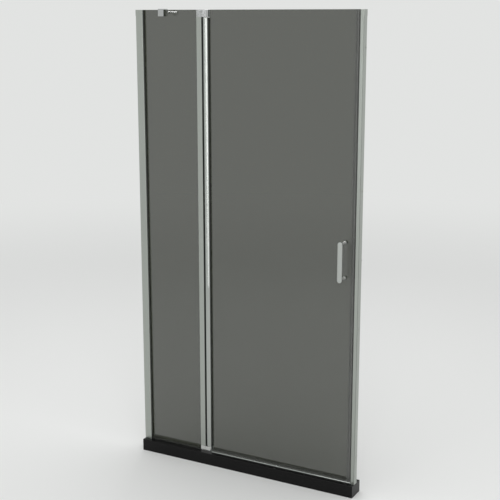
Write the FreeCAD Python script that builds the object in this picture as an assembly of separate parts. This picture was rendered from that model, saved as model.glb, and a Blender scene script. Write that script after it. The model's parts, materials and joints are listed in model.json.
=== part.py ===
import FreeCAD, Part
import math
import os

# Pivot shower door set for an opening between two walls: a fixed glass panel, a post with a
# round-nosed pivot stile, a swinging glass door, a strike side, a brace and a base bar.
# Millimetres. X runs along the door from the left wall to the right wall with 0 half way, Y runs
# into the shower with 0 in the middle of the glass, and Z runs up with 0 under the base bar.

# Overall
SET_WIDTH = 1000.0           # wall to wall
SET_HEIGHT = 1850.0          # top of the base bar to the top of the glass
PANEL_SPACE = 287.0          # left wall to the pivot post

# Base bar and threshold
SILL_HEIGHT = 50.0
SILL_FRONT = 32.0            # in front of the glass
SILL_BACK = 44.0             # behind the glass
SILL_EDGE = 3.0              # rounded top edges
THRESHOLD_WIDTH = 9.0
THRESHOLD_HEIGHT = 4.0
THRESHOLD_SIDE = 1.5         # straight sides of the threshold bar
THRESHOLD_BACK = -1.0        # rear edge of the threshold bar

# Glass and glazing strips
GLASS = 6.0
GLASS_ARRIS = 0.6            # ground edges
GASKET = 2.2                 # strip on each side of the glass
GASKET_GRIP = 5.0            # length of strip inside a pocket
GASKET_PROUD = 1.6           # length of strip that shows
GASKET_BEAD = 0.4            # the showing bead is this much thicker
POCKET_DEPTH = 9.0
EDGE_GAP = 0.5               # glass edge to what it points at inside a pocket
FIXED_GLASS_LIFT = 4.0       # fixed glass above the base bar
FIXED_SEAL_LEG = 6.0         # clear seal up the glass

# Extruded uprights
DEPTH = 28.0                 # front to back
SKIN = 1.4                   # wall thickness
WEB = 1.8                    # thickness of the part that is screwed to the room wall
CORNER = 2.5                 # outer corner radius
INNER_CORNER = 0.8
LIP_CORNER = 0.4             # corners too thin for the inner corner radius
OVERCUT = 1.0                # a cut's reach past the face that it opens
SLIDE_GAP = 0.25             # telescoping profile over its wall channel
WALL_GAP = 2.0               # telescoping profile to the room wall
SKIRT_ROOM = 1.0             # end of a channel leg to the cross web of its profile
LEFT_FACE = 33.0             # left profile, measured from the wall
LEFT_LEG = 21.0              # leg of the left wall channel
RIGHT_FACE = 16.0            # strike profile, measured from the wall
RIGHT_LEG = 8.0              # leg of the right wall channel
LEG_BEAD = 0.7               # thickened tip of a channel leg
LEG_BEAD_LENGTH = 2.0
WALL_HOLE_R = 2.75
END_MARGIN = 113.0           # outer wall holes and lock screws from the ends of an upright
WALL_HOLES_INNER = 540.0     # spacing of the inner pair of wall holes

# Pivot post and stile
POST_FACE = 23.5             # fixed half of the post
CORNER_SMALL = 1.5           # edge of the post beside the groove
NOSE_GAP = 1.0               # stile nose to post socket
SOCKET_LIP = 6.4             # rear lip of the post over the nose
STILE_FACE = 13.0            # pivot axis to the glass side of the stile
PORT_R = 2.0                 # bore of a screw port
PORT_WALL = 1.6
PORT_SLOT = 1.4              # open side of a screw port
PORT_SINK = 0.4              # wall of a screw port sunk into the post's skin
PORT_X = 15.5                # screw ports from the glass side of the post
WIPER_THICK = 0.6
WIPER_WIDTH = 5.0
WIPER_BACK = 2.0             # wiper behind which the nose comes nearest

# Brackets, pins and bushes
BRACKET_HEIGHT = 28.0        # top casting
FOOT_HEIGHT = 24.0           # bottom casting
BRACKET_EDGE = 1.0           # bevel round the top of the casting
GROOVE = 1.2                 # decorative groove in line with the post's joint
PIN_R = 4.0
PIN_HOLD = 18.0              # length of pin inside a casting
PIN_REACH = 20.0             # length of pin inside a bush
PIN_TIP = 0.8
RUN_FIT = 0.05               # radial running clearance
BUSH_WALL = 1.5
BUSH_LENGTH = 22.0
BUSH_FLANGE = 1.2
BUSH_FLANGE_R = 8.5
THRUST_GAP = 0.1             # lower bush flange over the foot
TOP_PLAY = 0.8               # upper bush flange under the top casting
SCREW_FIT = 0.05             # radial room of a screw in its bore
SCREW_HEAD_R = 3.7
SCREW_HEAD = 2.4
SCREW_RIM = 1.6              # straight side of a screw head
SCREW_BITE = 20.0            # screw inside a port
SINK_ROOM = 0.5              # screw head to the side of its counterbore
SINK_DEPTH = 4.5

# Door
DOOR_LIFT = 12.0             # door glass above the base bar
NOTCH = 16.5                 # corner notch in the glass, from the pivot axis
NOTCH_LAP = 1.0              # glass corner inside the stile's end
SEAL_WALL = 1.2
SEAL_GRIP = 8.0              # seal legs over the glass
SWEEP_CLEAR = 1.0            # bottom seal above the threshold bar
SWEEP_START = 17.5           # bottom seal from the pivot axis
LIP_THICK = 1.0
BULB_LENGTH = 8.4
BULB_HALF = 5.0
BULB_CORNER = 1.5
SEAL_TIP_CORNER = 0.4        # soft edges of the seal legs
MAGNET_THICK = 3.2
MAGNET_GAP = 0.4             # door seal to strike seal

# Strike seal
HEAD_LENGTH = 5.0
HEAD_SKIN = 0.6              # magnet in the strike seal to the seal's face
NECK_HALF = 3.3
MOUTH_LIP = 1.3              # lips of the strike profile's slot
ROOT_FIT = 0.3               # seal root to the sides of its slot
ROOT_THICK = 2.0
FIN_THICK = 1.2
FIN_REACH = 6.0              # rear fin that stops the door
STOP_GAP = 0.3
SLOT_HALF = 5.0

# End caps and lock screws
CAP_HEIGHT = 24.0
CAP_TOP = 3.0
CAP_WALL = 2.0
CAP_EDGE = 0.5               # bevel round the top of an end cap
PLUG_DEPTH = 8.0
PLUG_FIT = 0.2
LOCK_HOLE_ROOM = 0.1         # lock screw to the side of its hole
LOCK_SHANK = 4.6
LOCK_U_LEFT = 11.0           # lock screws from the wall, left
LOCK_U_RIGHT = 5.4           # lock screws from the wall, right
SNAP_CAP_R = 5.0
SNAP_CAP_HEIGHT = 3.8
SNAP_CAP_RIM = 1.9           # straight side of a snap cap
SNAP_CAP_WALL = 0.8

# Handle
HANDLE_INSET = 32.0          # free edge of the glass to the middle of the bar
HANDLE_LIFT = 911.0          # base bar to the middle of the bar
HANDLE_LENGTH = 160.0
HANDLE_WIDTH = 20.0
HANDLE_THICK = 9.0
HANDLE_EDGE = 2.5
HANDLE_PROJECTION = 54.0     # front of the bar from the middle of the glass
HANDLE_SPACING = 140.0
STANDOFF_R = 4.5
COLLAR_R = 6.5
COLLAR_HEIGHT = 3.0
COLLAR_RIM = 1.5             # straight side of a collar
WASHER = 1.0
WASHER_R = 7.5
GLASS_HOLE_R = 6.0
SLEEVE_GAP = 0.1
BOLT_R = 3.0
BOLT_BITE = 14.0
INNER_CAP_R = 8.0
INNER_CAP_HEIGHT = 6.0
INNER_CAP_RIM = 2.0          # straight side of an inner cap
INNER_CAP_BORE = 3.0         # bolt inside an inner cap

# Brace
CLAMP_PLACE = 120.0          # room wall to the middle of the clamp
CLAMP_WIDTH = 26.0
CLAMP_DROP = 26.0            # clamp below the top of the glass
CLAMP_RISE = 3.5             # clamp above the top of the glass
CLAMP_SEAT = 0.5             # glass top to the roof of the clamp's slot
FRONT_JAW = 7.0
REAR_JAW = 15.5
PAD = 1.5
PAD_MARGIN = 1.0
JAW_EDGE = 1.5
GRUB_R = 2.5
GRUB_OFFSET = 9.5
GRUB_LENGTH = 14.0
GRUB_SOCKET = 1.4
GRUB_SOCKET_DEPTH = 4.5
BRACE_DROP = 11.0            # brace below the top of the glass
EAR_R = 7.0
EAR_THICK = 3.6
EYE_R = 6.5
EYE_HALF = 2.7
EYE_GAP = 0.3
SWIVEL_REACH = 7.0           # swivel pin behind the clamp
SWIVEL_R = 3.0
SWIVEL_HEAD_R = 4.5
SWIVEL_HEAD = 1.4
SWIVEL_RIM = 0.8             # straight side of a swivel pin's head
BAR_R = 6.0
NECK_INSET = 1.5             # flat neck of the arm narrower than its eye, each side
BAR_START = 11.0             # round bar from the swivel pin
BRACE_WALL_Y = 275.0
ROSETTE_R = 12.5
ROSETTE = 4.5
ROSETTE_EDGE = 1.2
EAR_SINK = 2.0               # fork ears started inside the rosette
FLANGE_REACH = 14.0          # swivel pin from the room wall
BRACE_HOLES = 18.0
BRACE_HOLE_R = 1.75

# Places that follow from the sizes above
LEFT = -SET_WIDTH / 2
RIGHT = SET_WIDTH / 2
TOP = SILL_HEIGHT + SET_HEIGHT
HALF = DEPTH / 2
GLASS_HALF = GLASS / 2
POCKET_HALF = GLASS_HALF + GASKET
POCKET_OUT = POCKET_HALF + SKIN
PROFILE_TOP = TOP - CAP_HEIGHT
UPRIGHT_MIDDLE = (SILL_HEIGHT + PROFILE_TOP) / 2
POST_X = LEFT + PANEL_SPACE
SOCKET_X = POST_X + POST_FACE
AXIS_X = SOCKET_X + NOSE_GAP + HALF
STILE_X = AXIS_X + STILE_FACE
NOSE_X = AXIS_X - HALF
SOCKET_R = HALF + NOSE_GAP
BUSH_R = PIN_R + RUN_FIT + BUSH_WALL
TUBE_R = BUSH_R + SKIN
BRACKET_Z = TOP - BRACKET_HEIGHT
FOOT_Z = SILL_HEIGHT + FOOT_HEIGHT
STILE_TOP = BRACKET_Z - TOP_PLAY - BUSH_FLANGE
STILE_BOTTOM = FOOT_Z + THRUST_GAP + BUSH_FLANGE
SCREW_R = PORT_R - SCREW_FIT
SINK_R = SCREW_HEAD_R + SINK_ROOM
PORT_Y = HALF - SKIN - PORT_R - PORT_WALL + PORT_SINK
DOOR_GLASS_X = AXIS_X + TUBE_R + EDGE_GAP
DOOR_BOTTOM = SILL_HEIGHT + DOOR_LIFT
STRIKE_X = RIGHT - RIGHT_FACE
HEAD_X = STRIKE_X - HEAD_LENGTH
SEAL_TIP = HEAD_X - MAGNET_GAP
BULB_X = SEAL_TIP - BULB_LENGTH
DOOR_EDGE = BULB_X - SEAL_WALL
MAGNET_HALF = BULB_HALF - SEAL_WALL
ROOT_HALF = SLOT_HALF - ROOT_FIT
HANDLE_X = DOOR_EDGE - HANDLE_INSET
HANDLE_Z = SILL_HEIGHT + HANDLE_LIFT
CLAMP_X = LEFT + CLAMP_PLACE
CLAMP_REAR = GLASS_HALF + PAD + REAR_JAW
SWIVEL_Y = CLAMP_REAR + SWIVEL_REACH
BRACE_Z = TOP - BRACE_DROP
FLANGE_X = LEFT + FLANGE_REACH
BAR_BACK = HANDLE_THICK - HANDLE_PROJECTION
NEAR = 1e-6

X_AXIS = FreeCAD.Vector(1, 0, 0)
Y_AXIS = FreeCAD.Vector(0, 1, 0)
Z_AXIS = FreeCAD.Vector(0, 0, 1)


# Drawing helpers

def point(x, y, z=0.0):
    return FreeCAD.Vector(x, y, z)


def corner_marks(before, here, after, radius):
    """Start, middle and end of the arc of this radius that rounds the corner at here."""
    if radius == 0:
        return here, here, here
    back = (before - here).normalize()
    ahead = (after - here).normalize()
    half_angle = back.getAngle(ahead) / 2
    reach = radius / math.tan(half_angle)
    inset = radius / math.sin(half_angle) - radius
    middle = here + (back + ahead).normalize() * inset
    return here + back * reach, middle, here + ahead * reach


def outline(corners):
    """Closed wire through (x, y, radius) corners; a fourth value is a point (x, y) that an arc
    to the next corner passes through."""
    spots = [point(c[0], c[1]) for c in corners]
    count = len(corners)
    marks = []
    for i, c in enumerate(corners):
        marks.append(corner_marks(spots[i - 1], spots[i], spots[(i + 1) % count], c[2]))
    edges = []
    for i, (start, middle, end) in enumerate(marks):
        following = marks[(i + 1) % count][0]
        if start.distanceToPoint(end) > NEAR:
            edges.append(Part.Arc(start, middle, end).toShape())
        if len(corners[i]) > 3:
            edges.append(Part.Arc(end, point(*corners[i][3]), following).toShape())
        elif end.distanceToPoint(following) > NEAR:
            edges.append(Part.LineSegment(end, following).toShape())
    return Part.Wire(edges)


def area(corners):
    return Part.Face(outline(corners))


def rectangle(x0, x1, y0, y1, radius=0.0):
    return area([(x0, y0, radius), (x1, y0, radius), (x1, y1, radius), (x0, y1, radius)])


def disc(x, y, radius):
    return Part.Face(Part.Wire(Part.makeCircle(radius, point(x, y))))


def rise(section, z0, z1):
    """Section in the XY plane carried up from z0 to z1."""
    shape = section.copy()
    shape.translate(point(0, 0, z0))
    solids = shape.extrude(Z_AXIS * (z1 - z0)).Solids
    return solids[0] if len(solids) == 1 else Part.makeCompound(solids)


def run_along_x(corners, x0, x1):
    """Section given as (y, z, radius) corners carried along X from x0 to x1."""
    shape = area(corners)
    shape.rotate(point(0, 0), FreeCAD.Vector(1, 1, 1), 120)
    shape.translate(point(x0, 0))
    return shape.extrude(X_AXIS * (x1 - x0)).Solids[0]


def box(x0, x1, y0, y1, z0, z1):
    return Part.makeBox(x1 - x0, y1 - y0, z1 - z0, point(x0, y0, z0))


def rod(radius, start, direction, length):
    return Part.makeCylinder(radius, length, start, direction)


def turned(profile, start, direction):
    """Solid turned from (radius, height) points, standing at start along direction."""
    wire = Part.makePolygon([point(r, 0, h) for r, h in profile + profile[:1]])
    solid = Part.Face(wire).revolve(point(0, 0), Z_AXIS, 360).Solids[0]
    solid.Placement = FreeCAD.Placement(start, FreeCAD.Rotation(Z_AXIS, direction))
    return solid


def domed(radius, height, rim, start, direction):
    """Round head: a straight rim, then a crown that is part of a sphere."""
    crown = height - rim
    sphere_r = (radius * radius + crown * crown) / (2 * crown)
    half_angle = math.asin(radius / sphere_r) / 2
    middle = point(sphere_r * math.sin(half_angle), 0, height - sphere_r * (1 - math.cos(half_angle)))
    tip = point(0, 0, height)
    shoulder = point(radius, 0, rim)
    edges = Part.makePolygon([tip, point(0, 0, 0), point(radius, 0, 0), shoulder]).Edges
    edges.append(Part.Arc(shoulder, middle, tip).toShape())
    solid = Part.Face(Part.Wire(edges)).revolve(point(0, 0), Z_AXIS, 360).Solids[0]
    solid.Placement = FreeCAD.Placement(start, FreeCAD.Rotation(Z_AXIS, direction))
    return solid


def headed(shank_r, shank, head_r, head, rim, start, direction):
    """Pin or screw with its head along direction from start and its shank the other way."""
    return turned([
        (0, -shank), (shank_r, -shank), (shank_r, 0), (head_r, 0), (head_r, rim),
        (head_r - head + rim, head), (0, head),
    ], start, direction)


def break_edges(solid, z, width):
    """Bevel every edge that lies in the plane at height z."""
    edges = [e for e in solid.Edges if abs(e.BoundBox.ZMin - z) + abs(e.BoundBox.ZMax - z) < NEAR * 10]
    return solid.makeChamfer(width, edges)


def one(shape):
    return shape.removeSplitter().Solids[0]


# Uprights on the room walls: u runs from the wall into the opening

def from_wall(side, corners):
    """Corners (u, y, radius) placed at the left wall (side -1) or the right wall (side 1)."""
    placed = [(side * (RIGHT - u), y, radius) for u, y, radius in corners]
    return placed if side < 0 else placed[::-1]


def wall_rectangle(side, u0, u1, y0, y1, radius=0.0):
    return area(from_wall(side, [(u0, y0, radius), (u1, y0, radius), (u1, y1, radius), (u0, y1, radius)]))


def outer_heights():
    return [SILL_HEIGHT + END_MARGIN, PROFILE_TOP - END_MARGIN]


def lock_heights():
    return [*outer_heights(), UPRIGHT_MIDDLE]


def lock_holes(side, lock_u):
    x = side * (RIGHT - lock_u)
    return [rod(SCREW_R + LOCK_HOLE_ROOM, point(x, 0, z), Y_AXIS, DEPTH) for z in lock_heights()]


def wall_channel(side, leg, lock_u):
    """U-shaped channel with thickened leg tips and a column of wall screw holes."""
    outer = HALF - SKIN - SLIDE_GAP
    inner = outer - SKIN
    section = wall_rectangle(side, 0, leg, -outer, outer, LIP_CORNER)
    tip = inner - LEG_BEAD
    mouth = leg - LEG_BEAD_LENGTH
    section = section.cut(wall_rectangle(side, WEB, mouth, -inner, inner, LIP_CORNER))
    section = section.cut(wall_rectangle(side, mouth - OVERCUT, leg + OVERCUT, -tip, tip))
    channel = rise(section, SILL_HEIGHT, PROFILE_TOP)
    holes = lock_holes(side, lock_u)
    half = WALL_HOLES_INNER / 2
    for z in [*outer_heights(), UPRIGHT_MIDDLE - half, UPRIGHT_MIDDLE + half]:
        start = point(side * (RIGHT - WEB - OVERCUT), 0, z)
        holes.append(rod(WALL_HOLE_R, start, X_AXIS * side, WEB + 2 * OVERCUT))
    return channel.cut(holes).Solids[0]


def panel_section():
    """Left telescoping profile: a skirt over the channel, then a glazing pocket in a hollow head."""
    inside = HALF - SKIN
    web = LEFT_LEG + SKIRT_ROOM
    head = web + SKIN
    pocket = LEFT_FACE - POCKET_DEPTH
    body = area(from_wall(-1, [
        (WALL_GAP, -HALF, 0), (LEFT_FACE, -HALF, CORNER), (LEFT_FACE, HALF, CORNER), (WALL_GAP, HALF, 0),
    ]))
    body = body.cut(wall_rectangle(-1, WALL_GAP - OVERCUT, web, -inside, inside))
    hollow = wall_rectangle(-1, head, LEFT_FACE - SKIN, -inside, inside, INNER_CORNER)
    hollow = hollow.cut(wall_rectangle(-1, head - SKIN, LEFT_FACE, -POCKET_OUT, POCKET_OUT))
    body = body.cut(hollow)
    return body.cut(wall_rectangle(-1, pocket, LEFT_FACE + OVERCUT, -POCKET_HALF, POCKET_HALF))


def panel_profile():
    profile = rise(panel_section(), SILL_HEIGHT, PROFILE_TOP)
    return profile.cut(lock_holes(-1, LOCK_U_LEFT)).Solids[0]


def strike_section():
    """Right telescoping profile: a short skirt, then a lipped slot for the magnetic seal."""
    inside = HALF - SKIN
    web = RIGHT_LEG + SKIRT_ROOM
    head = web + SKIN
    slot_out = SLOT_HALF + SKIN
    body = area(from_wall(1, [
        (WALL_GAP, -HALF, 0), (RIGHT_FACE, -HALF, CORNER), (RIGHT_FACE, HALF, CORNER), (WALL_GAP, HALF, 0),
    ]))
    body = body.cut(wall_rectangle(1, WALL_GAP - OVERCUT, web, -inside, inside))
    hollow = wall_rectangle(1, head, RIGHT_FACE - SKIN, -inside, inside, INNER_CORNER)
    hollow = hollow.cut(wall_rectangle(1, head - SKIN, RIGHT_FACE, -slot_out, slot_out))
    body = body.cut(hollow)
    body = body.cut(wall_rectangle(1, head, RIGHT_FACE - MOUTH_LIP, -SLOT_HALF, SLOT_HALF))
    return body.cut(wall_rectangle(1, head + OVERCUT, RIGHT_FACE + OVERCUT, -NECK_HALF, NECK_HALF))


def strike_profile():
    profile = rise(strike_section(), SILL_HEIGHT, PROFILE_TOP)
    return profile.cut(lock_holes(1, LOCK_U_RIGHT)).Solids[0]


def end_cap(side, face, web, slot, slot_half):
    """Hollow cap on top of an upright, with a slot in line with its pocket and two plugs below."""
    body = area(from_wall(side, [
        (0, -HALF, 0), (face, -HALF, CORNER), (face, HALF, CORNER), (0, HALF, 0),
    ]))
    body = body.cut(wall_rectangle(side, slot, face + OVERCUT, -slot_half, slot_half))
    shell = rise(body, PROFILE_TOP, TOP)
    inside = HALF - CAP_WALL
    hollow = wall_rectangle(side, CAP_WALL, slot - CAP_WALL, -inside, inside)
    shell = shell.cut(rise(hollow, PROFILE_TOP - OVERCUT, TOP - CAP_TOP))
    plug_u0 = web + SKIN + PLUG_FIT
    plug_u1 = face - SKIN - PLUG_FIT - INNER_CORNER
    plug_y0 = slot_half + SKIN + PLUG_FIT
    plug_y1 = HALF - SKIN - PLUG_FIT - LIP_CORNER
    for turn in (-1, 1):
        low, high = sorted((turn * plug_y0, turn * plug_y1))
        plug = wall_rectangle(side, plug_u0, plug_u1, low, high)
        shell = shell.fuse(rise(plug, PROFILE_TOP - PLUG_DEPTH, PROFILE_TOP))
    shell = one(shell)
    return break_edges(shell, TOP, CAP_EDGE)


def lock_screws(side, lock_u):
    """Screws through the rear of a telescoping profile into its wall channel."""
    x = side * (RIGHT - lock_u)
    return Part.makeCompound([
        headed(SCREW_R, LOCK_SHANK, SCREW_HEAD_R, SCREW_HEAD, SCREW_RIM, point(x, HALF, z), Y_AXIS)
        for z in lock_heights()
    ])


def lock_screw_caps(side, lock_u):
    """Thin caps with a sloping edge that snap over the lock screws."""
    x = side * (RIGHT - lock_u)
    inner_r = SNAP_CAP_R - SNAP_CAP_WALL
    inner_height = SNAP_CAP_HEIGHT - SNAP_CAP_WALL
    flat_r = SNAP_CAP_R - SNAP_CAP_HEIGHT + SNAP_CAP_RIM
    inner_flat_r = inner_r - inner_height + SNAP_CAP_RIM
    profile = [
        (inner_r, 0), (SNAP_CAP_R, 0), (SNAP_CAP_R, SNAP_CAP_RIM), (flat_r, SNAP_CAP_HEIGHT),
        (0, SNAP_CAP_HEIGHT), (0, inner_height), (inner_flat_r, inner_height), (inner_r, SNAP_CAP_RIM),
    ]
    return Part.makeCompound([turned(profile, point(x, HALF, z), Y_AXIS) for z in lock_heights()])


# Pivot post and stile

def on_circle(radius, degrees):
    turn = math.radians(degrees)
    return AXIS_X + radius * math.cos(turn), radius * math.sin(turn)


def arc_end_at_x(radius, x):
    """Angle on the circle about the pivot axis, behind it, at this X."""
    return math.degrees(math.acos((x - AXIS_X) / radius))


def post_section():
    """Fixed half of the post: glazing pocket, hollow body with screw ports, round rear socket."""
    inside = HALF - SKIN
    lip_x = SOCKET_X + SOCKET_LIP
    lip = arc_end_at_x(SOCKET_R, lip_x)
    body = area([
        (POST_X, -HALF, CORNER),
        (SOCKET_X, -HALF, CORNER_SMALL),
        (SOCKET_X, 0, 0, on_circle(SOCKET_R, (180 + lip) / 2)),
        (*on_circle(SOCKET_R, lip), 0),
        (lip_x, HALF, LIP_CORNER),
        (POST_X, HALF, CORNER),
    ])
    wall_r = SOCKET_R + SKIN
    wall_x = AXIS_X - wall_r
    end_y = inside
    end = 180 - math.degrees(math.asin(end_y / wall_r))
    hollow = area([
        (POST_X + SKIN, -inside, INNER_CORNER),
        (wall_x, -inside, INNER_CORNER),
        (wall_x, 0, 0, on_circle(wall_r, (180 + end) / 2)),
        (*on_circle(wall_r, end), 0),
        (POST_X + SKIN, inside, INNER_CORNER),
    ])
    pocket_end = POST_X + POCKET_DEPTH
    hollow = hollow.cut(rectangle(POST_X, pocket_end + SKIN, -POCKET_OUT, POCKET_OUT))
    port_x = POST_X + PORT_X
    ports = [disc(port_x, turn * PORT_Y, PORT_R + PORT_WALL) for turn in (-1, 1)]
    hollow = hollow.cut(ports)
    section = body.cut(hollow)
    section = section.cut(rectangle(POST_X - OVERCUT, pocket_end, -POCKET_HALF, POCKET_HALF))
    for turn in (-1, 1):
        section = section.cut(disc(port_x, turn * PORT_Y, PORT_R))
        slot_y = turn * (PORT_Y - PORT_R - PORT_WALL)
        low, high = sorted((slot_y - turn * PORT_SLOT, turn * PORT_Y))
        section = section.cut(rectangle(port_x - PORT_SLOT / 2, port_x + PORT_SLOT / 2, low, high))
    return section


def pivot_post():
    return rise(post_section(), FOOT_Z, BRACKET_Z)


def post_wiper_seal():
    back = -WIPER_BACK
    strip = rectangle(SOCKET_X, SOCKET_X + WIPER_THICK, back - WIPER_WIDTH, back)
    return rise(strip, FOOT_Z, BRACKET_Z)


def stile_outline(inset):
    """D-shaped outline with its round nose about the pivot axis, inset all round."""
    half = HALF - inset
    return area([
        (AXIS_X - half, -half, half),
        (STILE_X - inset, -half, CORNER - inset if inset < CORNER else 0),
        (STILE_X - inset, half, CORNER - inset if inset < CORNER else 0),
        (AXIS_X - half, half, half),
    ])


def stile_section():
    """Moving half of the post: round nose, pin tube held by a web, and a glazing pocket."""
    tube = disc(AXIS_X, 0, TUBE_R)
    hollow = stile_outline(SKIN)
    hollow = hollow.cut(tube)
    hollow = hollow.cut(rectangle(AXIS_X, STILE_X, -POCKET_OUT, POCKET_OUT))
    hollow = hollow.cut(rectangle(NOSE_X, AXIS_X, -SKIN / 2, SKIN / 2))
    pocket = rectangle(AXIS_X, STILE_X + OVERCUT, -POCKET_HALF, POCKET_HALF).cut(tube)
    section = stile_outline(0).cut(hollow)
    section = section.cut(pocket)
    return section.cut(disc(AXIS_X, 0, BUSH_R))


def pivot_stile():
    return rise(stile_section(), STILE_BOTTOM, STILE_TOP)


def casting(z0, z1):
    """Bracket body: square at the post, round about the pivot axis, slotted for the fixed glass."""
    body = area([
        (POST_X, -HALF, CORNER),
        (AXIS_X + HALF, -HALF, HALF),
        (AXIS_X + HALF, HALF, HALF),
        (POST_X, HALF, CORNER),
    ])
    body = body.cut(rectangle(POST_X - OVERCUT, POST_X + POCKET_DEPTH, -POCKET_HALF, POCKET_HALF))
    for turn in (-1, 1):
        groove = [(SOCKET_X - GROOVE, turn * (HALF + OVERCUT), 0), (SOCKET_X, turn * (HALF - GROOVE), 0),
                  (SOCKET_X + GROOVE, turn * (HALF + OVERCUT), 0)]
        body = body.cut(area(groove))
    return rise(body, z0, z1)


def port_places():
    return [(POST_X + PORT_X, turn * PORT_Y) for turn in (-1, 1)]


def top_pivot_bracket():
    body = break_edges(casting(BRACKET_Z, TOP), TOP, BRACKET_EDGE)
    cuts = [rod(PIN_R, point(AXIS_X, 0, BRACKET_Z), Z_AXIS, PIN_HOLD)]
    for x, y in port_places():
        cuts.append(rod(PORT_R, point(x, y, BRACKET_Z), Z_AXIS, BRACKET_HEIGHT))
        cuts.append(rod(SINK_R, point(x, y, TOP - SINK_DEPTH), Z_AXIS, SINK_DEPTH))
    return body.cut(cuts).Solids[0]


def bottom_pivot_foot():
    body = casting(SILL_HEIGHT, FOOT_Z)
    cuts = [rod(PIN_R, point(AXIS_X, 0, FOOT_Z - PIN_HOLD), Z_AXIS, PIN_HOLD)]
    for x, y in port_places():
        cuts.append(rod(PORT_R, point(x, y, SILL_HEIGHT), Z_AXIS, FOOT_HEIGHT))
        cuts.append(rod(SINK_R, point(x, y, SILL_HEIGHT), Z_AXIS, SINK_DEPTH))
    return body.cut(cuts).Solids[0]


def bracket_screws():
    screws = []
    for x, y in port_places():
        for seat, way, through in (
            (TOP - SINK_DEPTH, -1, BRACKET_HEIGHT - SINK_DEPTH),
            (SILL_HEIGHT + SINK_DEPTH, 1, FOOT_HEIGHT - SINK_DEPTH),
        ):
            shank = through + SCREW_BITE
            screws.append(headed(SCREW_R, shank, SCREW_HEAD_R, SCREW_HEAD, SCREW_RIM,
                                 point(x, y, seat), Z_AXIS * -way))
    return Part.makeCompound(screws)


def pivot_pin(shoulder_z, way):
    """Pin from inside a casting into a bush; way is up (1) or down (-1)."""
    gap = abs((STILE_TOP if way < 0 else STILE_BOTTOM) - shoulder_z)
    length = PIN_HOLD + gap + PIN_REACH
    profile = [(0, 0), (PIN_R, 0), (PIN_R, length - PIN_TIP), (PIN_R - PIN_TIP, length), (0, length)]
    return turned(profile, point(AXIS_X, 0, shoulder_z - way * PIN_HOLD), Z_AXIS * way)


def pivot_bush(end_z, way):
    """Flanged bush pushed into the stile's tube from its end; way points into the tube."""
    bore = PIN_R + RUN_FIT
    profile = [
        (bore, -BUSH_FLANGE), (BUSH_FLANGE_R, -BUSH_FLANGE), (BUSH_FLANGE_R, 0),
        (BUSH_R, 0), (BUSH_R, BUSH_LENGTH), (bore, BUSH_LENGTH),
    ]
    return turned(profile, point(AXIS_X, 0, end_z), Z_AXIS * way)


# Glass, glazing strips and seals

def pane(x0, x1, z0, z1):
    """Sheet of glass with ground edges."""
    sheet = box(x0, x1, -GLASS_HALF, GLASS_HALF, z0, z1)
    rim = [e for e in sheet.Edges if e.BoundBox.YLength < NEAR * 10]
    return sheet.makeChamfer(GLASS_ARRIS, rim)


def fixed_glass():
    left = LEFT + LEFT_FACE - POCKET_DEPTH + EDGE_GAP
    right = POST_X + POCKET_DEPTH - EDGE_GAP
    return pane(left, right, SILL_HEIGHT + FIXED_GLASS_LIFT, TOP)


def handle_heights():
    return [HANDLE_Z - HANDLE_SPACING / 2, HANDLE_Z + HANDLE_SPACING / 2]


def door_glass():
    sheet = pane(DOOR_GLASS_X, DOOR_EDGE, DOOR_BOTTOM, TOP)
    notch_x = AXIS_X + NOTCH
    low = box(DOOR_GLASS_X, notch_x, -GLASS, GLASS, DOOR_BOTTOM, STILE_BOTTOM + NOTCH_LAP)
    high = box(DOOR_GLASS_X, notch_x, -GLASS, GLASS, STILE_TOP - NOTCH_LAP, TOP)
    cuts = [low, high]
    for z in handle_heights():
        cuts.append(rod(GLASS_HOLE_R, point(HANDLE_X, -GLASS, z), Y_AXIS, 2 * GLASS))
    return sheet.cut(cuts).Solids[0]


def glazing_pair(mouth_x, way, z0, z1):
    """Front and rear strips at a pocket mouth; way points out of the pocket along X."""
    strips = []
    for turn in (-1, 1):
        inner = turn * GLASS_HALF
        outer = turn * POCKET_HALF
        bead = turn * (POCKET_HALF + GASKET_BEAD)
        section = area([
            (mouth_x - way * GASKET_GRIP, inner, 0),
            (mouth_x + way * GASKET_PROUD, inner, 0),
            (mouth_x + way * GASKET_PROUD, bead, GASKET / 2),
            (mouth_x, bead, 0),
            (mouth_x, outer, 0),
            (mouth_x - way * GASKET_GRIP, outer, 0),
        ])
        strips.append(rise(section, z0, z1))
    return Part.makeCompound(strips)


def fixed_bottom_seal():
    """Clear channel under the fixed glass, standing on the base bar."""
    out = GLASS_HALF + SEAL_WALL
    x0 = LEFT + LEFT_FACE + GASKET_PROUD + SLIDE_GAP
    x1 = POST_X - GASKET_PROUD - SLIDE_GAP
    glass_z = SILL_HEIGHT + FIXED_GLASS_LIFT
    top = glass_z + FIXED_SEAL_LEG
    corners = [
        (-out, SILL_HEIGHT, 0), (out, SILL_HEIGHT, 0), (out, top, SEAL_TIP_CORNER), (GLASS_HALF, top, 0),
        (GLASS_HALF, glass_z, 0), (-GLASS_HALF, glass_z, 0), (-GLASS_HALF, top, 0),
        (-out, top, SEAL_TIP_CORNER),
    ]
    return run_along_x(corners, x0, x1)


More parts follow.
